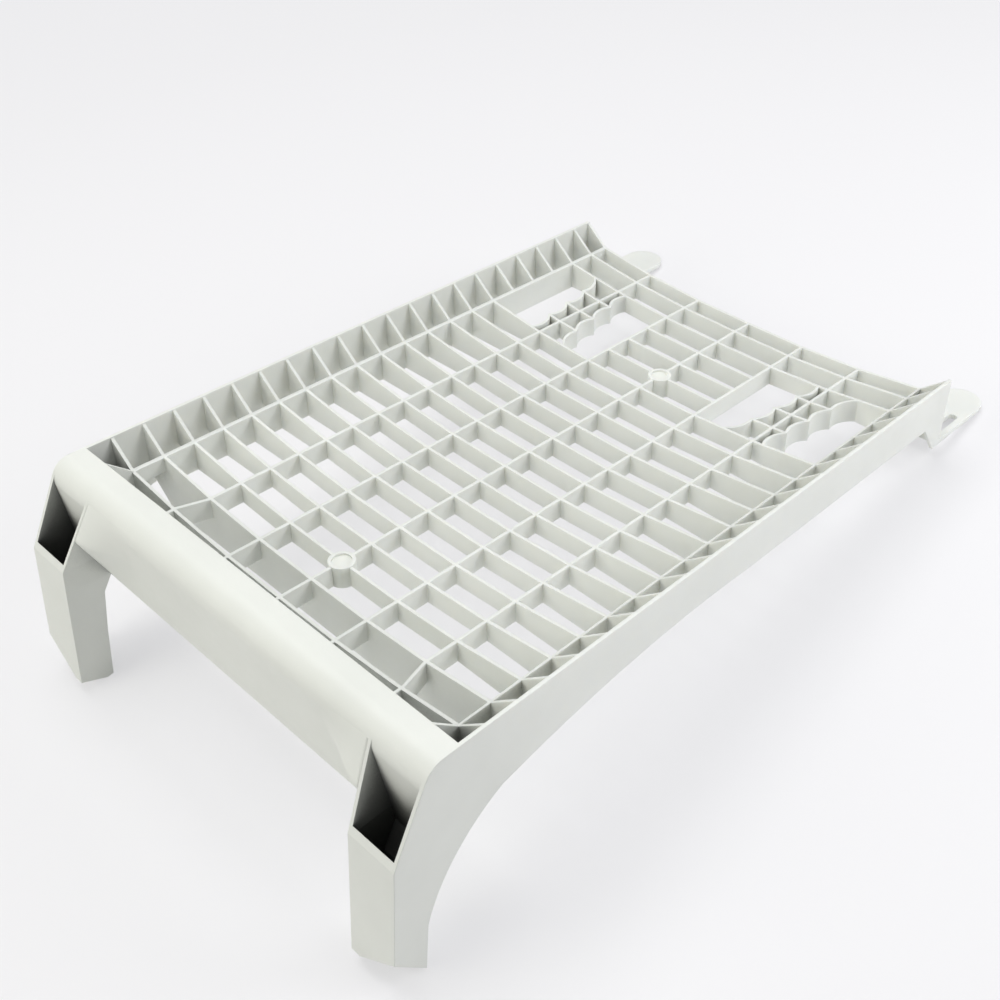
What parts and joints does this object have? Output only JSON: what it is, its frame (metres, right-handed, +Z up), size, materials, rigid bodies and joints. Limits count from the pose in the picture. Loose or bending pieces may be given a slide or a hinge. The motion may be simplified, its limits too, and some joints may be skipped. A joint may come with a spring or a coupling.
{
  "type": "dryer drying rack",
  "caption": "Moulded plastic rack with a dished, ribbed deck, rolled apron and hollow legs at its high end, and slotted tongues at its low end, for drying shoes in a dryer.",
  "frame": {"origin": "on the floor under the middle of the rack's overall length and width", "axes": "+Z up, +Y from the high apron end towards the low tongue end, +X across the deck"},
  "size_m": [0.3568, 0.61, 0.1488],
  "materials": {
    "plastic": "matte moulded, pale grey-white"
  },
  "bodies": {
    "root": {"drying_rack": "plastic"}
  },
  "joints": []
}
